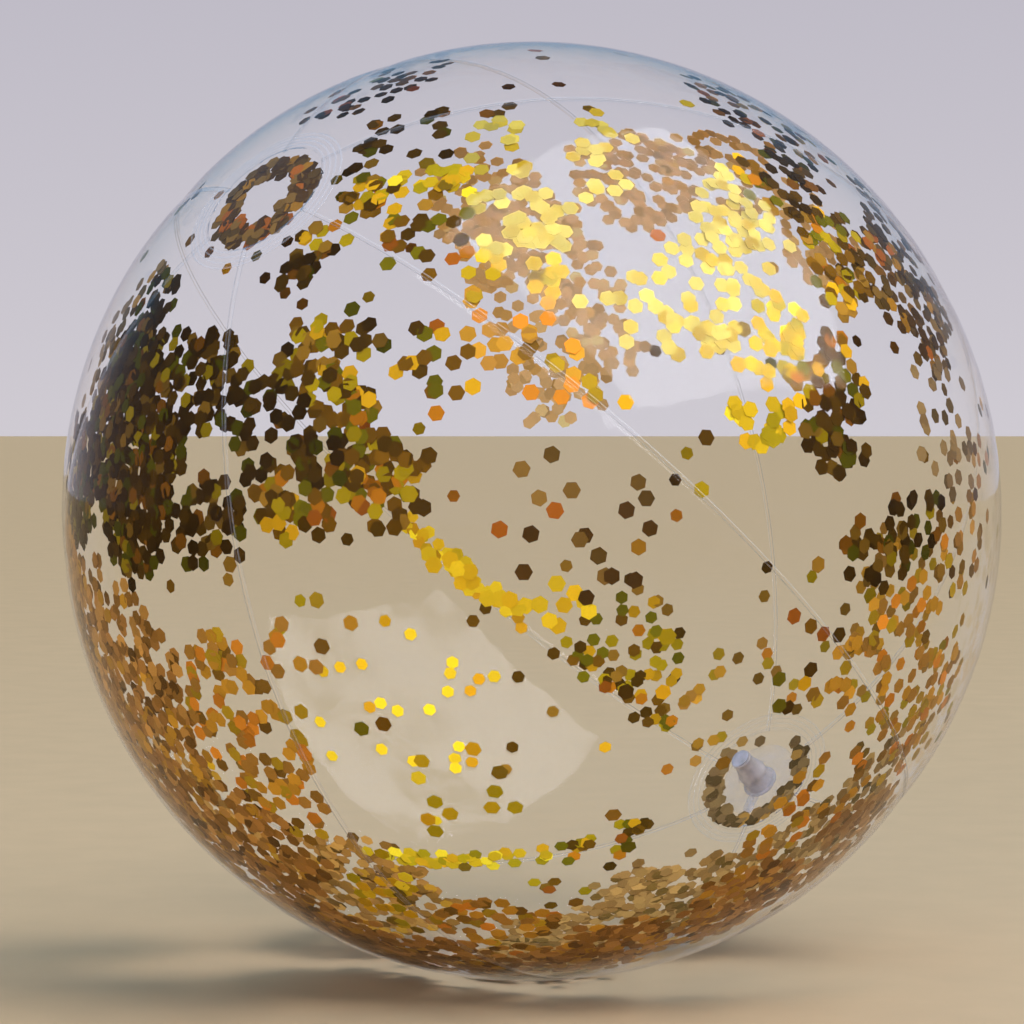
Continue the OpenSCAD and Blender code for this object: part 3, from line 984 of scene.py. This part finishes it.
def leaning(normal, rng, tilt):
    # three axes for each flake: its normal leans from the wall's by up to tilt degrees, turned freely
    n = len(normal)
    helper = np.where(np.abs(normal[:, 2:3]) < 0.9, np.array([[0, 0, 1.0]]), np.array([[1.0, 0, 0]]))
    x = np.cross(helper, normal)
    x /= np.linalg.norm(x, axis=1)[:, None]
    y = np.cross(normal, x)
    lean = np.radians(tilt) * np.sqrt(rng.random(n))
    heading = rng.random(n) * 2 * math.pi
    z = normal + np.tan(lean)[:, None] * (np.cos(heading)[:, None] * x + np.sin(heading)[:, None] * y)
    z /= np.linalg.norm(z, axis=1)[:, None]
    spin = rng.random(n) * 2 * math.pi
    x = x * np.cos(spin)[:, None] + y * np.sin(spin)[:, None]
    x = x - z * np.sum(x * z, axis=1)[:, None]
    x /= np.linalg.norm(x, axis=1)[:, None]
    return x, np.cross(z, x), z


def flakeSizes(count, rng):
    return flake["acrossCorners"] * rng.uniform(*flake["sizeVary"], count)


def wallFlakes(angle, colat, rng):
    # flakes flat against the inside of the film, in thin layers so that they overlap like shingles
    normal = direction(angle, colat)
    inner = filmRadius(angle, colat) - 2 * ball["filmThick"] - flake["wallGap"]
    layer = rng.integers(0, flake["layers"], len(angle)) * flake["layerStep"]
    centres = centre + normal * (inner - layer)[:, None]
    centres[:, 2] = np.maximum(centres[:, 2], flake["floorGap"] + layer)
    x, y, z = leaning(normal, rng, flake["tilt"])
    return hexPrisms(centres, x, y, z, flakeSizes(len(angle), rng), flake["thick"])


def clingingGlitter():
    # every lattice place draws once: a flake stays where its drift is full enough, in that drift's tones
    rng = np.random.default_rng(flake["seed"])
    angle, colat = wallPlaces(rng)
    share = np.stack([driftShare(angle, colat, drift) for drift in drifts])
    filled = share.max(0)
    clump = 1 + flake["clump"] * clumping(angle, colat, rng) * (1 - filled ** 3)
    lone = rng.random(len(angle)) < strays["fill"]
    taken = (rng.random(len(angle)) < filled * clump) | lone
    taken &= ball["radius"] * np.sin(colat) > cap["radius"] - flake["capGap"]
    best = np.where(filled > strays["fill"], share.argmax(0), -1)
    colours = np.zeros((len(angle), 3))
    for index in range(-1, len(drifts)):
        mine = best == index
        tone = strays["tone"] if index < 0 else drifts[index][5]
        colours[mine] = pickTones(tone, mine.sum(), rng)
    gore = np.floor(np.mod(angle - firstSeam, 2 * math.pi) / goreAngle).astype(int) + 1
    for k in range(1, ball["gores"] + 1):
        here = taken & (gore == k)
        points = wallFlakes(angle[here], colat[here], rng)
        flakePiece(f"flakes_gore_{k}", points, colours[here], "ball", f"glitter_gore_{k}")


# Glitter caught in a ring around each pole, in metres from it. Where the ring is thin, from gapFrom to
# gapTo degrees around the pole, only gapShare of its flakes stay.
poleRings = {
    "end_cap": dict(inner=0.0122, outer=0.0216, ragged=0.0012, count=150, tone="umber", seed=3,
                    gapFrom=0, gapTo=0, gapShare=1),
    "valve_cap": dict(inner=0.0178, outer=0.0234, ragged=0.0006, count=130, tone="dusk", seed=4,
                      gapFrom=135, gapTo=258, gapShare=0.12),
}


ringTurn = 2.39996    # radians from one flake of a ring to the next, the golden angle


def ringGlitter(label, side):
    # flakes crowded into a ring with a ragged inner edge: inner radius + ragged * (sum of two sines)
    ring = poleRings[label]
    rng = np.random.default_rng(ring["seed"])
    angle = np.arange(ring["count"]) * ringTurn + rng.normal(0, 0.15, ring["count"])
    turned = np.mod(np.degrees(angle), 360)
    thin = (turned > ring["gapFrom"]) & (turned < ring["gapTo"])
    angle = angle[~thin | (rng.random(len(angle)) < ring["gapShare"])]
    inner = ring["inner"] + ring["ragged"] * (np.sin(3 * angle + 0.8) + 0.6 * np.sin(7 * angle + 2.1))
    r = np.sqrt(rng.uniform(inner ** 2, ring["outer"] ** 2, len(angle)))
    colat = np.arcsin(r / ball["radius"])
    colat = colat if side > 0 else math.pi - colat
    points = wallFlakes(angle, colat, rng)
    colours = pickTones(ring["tone"], len(angle), rng)
    flakePiece(f"flakes_{label}", points, colours, "ball", f"glitter_{label}")


heap = {
    "spread": 0.030,        # how far the loose heap reaches from the lowest place
    "floorReach": 0.1731,   # distance of its lowest flakes from the ball's centre
    "count": 400,
    "layerStep": 0.00028,
    "layers": 9,
    "edgeThin": 0.6,        # how much thinner the heap is at its edge
    "tilt": 9.0,
    "tone": "sunk",
    "seed": 5,
}


def looseHeap():
    # flakes piled on the flat, leaning more than the clinging ones, thickest in the middle
    rng = np.random.default_rng(heap["seed"])
    n = heap["count"]
    r = heap["spread"] * np.sqrt(rng.random(n)) * rng.uniform(0.6, 1, n)
    t = rng.random(n) * 2 * math.pi
    layer = rng.integers(0, heap["layers"], n) * (1 - heap["edgeThin"] * r / heap["spread"])
    down = np.stack([r * np.cos(t), r * np.sin(t), -np.sqrt(heap["floorReach"] ** 2 - r ** 2)], -1)
    normal = -down / np.linalg.norm(down, axis=1)[:, None]
    centres = centre + down + normal * (layer * heap["layerStep"])[:, None]
    x, y, z = leaning(normal, rng, heap["tilt"])
    points = hexPrisms(centres, x, y, z, flakeSizes(n, rng), flake["thick"])
    flakePiece("flakes_loose_heap", points, pickTones(heap["tone"], n, rng), "heap", "loose_glitter")


clingingGlitter()
ringGlitter("end_cap", 1)
ringGlitter("valve_cap", -1)
looseHeap()

stage = {
    "floor": (0.61, 0.39, 0.20),
    "floorSize": 60,
    "grainScale": 30,
    "grainDark": 0.95,
    "sky": [(0.0, (0.62, 0.59, 0.64)), (0.16, (0.50, 0.48, 0.55)), (0.34, (0.15, 0.34, 0.53))],
    "worldStrength": 1.0,
    "sunStrength": 1.95,
    "fillStrength": 1.9,
    "sunSpread": 40,        # degrees across each soft sun
    "keyPlace": (0.65, -0.50, 1.27),     # metres from the ball's centre
    "fillPlace": (-0.3, -1.4, 0.3),
    "keySize": 1.9,
    "keyPower": 120,
}


def makeFloor():
    half = stage["floorSize"] / 2
    points = np.array([[-half, -half, 0], [half, -half, 0], [half, half, 0], [-half, half, 0]], float)
    floor = meshPiece("floor", points, np.array([[0, 1, 2, 3]]), smooth=False)
    material, tree, out = newMaterial("paleFloor")
    grain = noise(tree, objectPoint(tree), stage["grainScale"], 4)
    darker = tuple(c * stage["grainDark"] for c in stage["floor"])
    tone = ramp(tree, grain, [(0.3, darker), (0.7, stage["floor"])])
    principled(tree, out.inputs["Surface"], Base_Color=tone, Roughness=0.9)
    floor.data.materials.append(material)


def makeWorld():
    # a plain studio sky by height: pale at the horizon, bluer overhead
    world = bpy.data.worlds.new("studio")
    bpy.context.scene.world = world
    world.use_nodes = True
    tree = world.node_tree
    tree.nodes.clear()
    out = tree.nodes.new("ShaderNodeOutputWorld")
    back = tree.nodes.new("ShaderNodeBackground")
    parts = tree.nodes.new("ShaderNodeSeparateXYZ")
    tree.links.new(tree.nodes.new("ShaderNodeTexCoord").outputs["Generated"], parts.inputs[0])
    tree.links.new(ramp(tree, parts.outputs["Z"], stage["sky"]), back.inputs["Color"])
    back.inputs["Strength"].default_value = stage["worldStrength"]
    tree.links.new(back.outputs[0], out.inputs["Surface"])


def placeLamp(lamp, place):
    # a lamp at a place that counts from the ball's centre, turned to face the ball
    holder = bpy.data.objects.new(lamp.name, lamp)
    bpy.context.scene.collection.objects.link(holder)
    holder.location = centre + np.array(place)
    holder.rotation_euler = Vector(place).to_track_quat("Z", "Y").to_euler()
    return holder


def softSun(name, strength, place):
    # a soft sun lights everything evenly, but makes no reflection of its own
    sun = bpy.data.lights.new(name, "SUN")
    sun.energy = strength
    sun.angle = math.radians(stage["sunSpread"])
    placeLamp(sun, place).visible_glossy = False


def makeLights():
    # the softbox gives the broad reflection on the film, and two soft suns light the ball and the floor
    key = bpy.data.lights.new("keySoftbox", "AREA")
    key.shape = "SQUARE"
    key.size = stage["keySize"]
    key.energy = stage["keyPower"]
    placeLamp(key, stage["keyPlace"]).visible_diffuse = False
    softSun("mainSun", stage["sunStrength"], stage["keyPlace"])
    softSun("fillSun", stage["fillStrength"], stage["fillPlace"])


camera = {
    "distance": 1.200,      # metres from the ball's centre
    "elevation": 1.75,      # degrees
    "lens": 111.9,          # millimetres, on a sensor of 36
    "aimLeft": 0.0071,      # how far to the left of the centre it looks
}


def makeCamera():
    data = bpy.data.cameras.new("camera")
    data.lens = camera["lens"]
    data.sensor_width = 36
    data.clip_start = 0.05
    data.clip_end = 200
    holder = bpy.data.objects.new("camera", data)
    bpy.context.scene.collection.objects.link(holder)
    e = math.radians(camera["elevation"])
    holder.location = centre + np.array([0, -math.cos(e), math.sin(e)]) * camera["distance"]
    aim = Vector(centre + np.array([-camera["aimLeft"], 0, 0])) - holder.location
    holder.rotation_euler = aim.to_track_quat("-Z", "Y").to_euler()
    bpy.context.scene.camera = holder


makeFloor()
makeWorld()
makeLights()
makeCamera()
scene = bpy.context.scene
scene.view_settings.view_transform = "Standard"
scene.cycles.transparent_max_bounces = 32
scene.cycles.max_bounces = 6
scene.cycles.diffuse_bounces = 2
scene.cycles.glossy_bounces = 3
scene.cycles.caustics_reflective = False
scene.cycles.caustics_refractive = False
print("stage, lights and camera made")
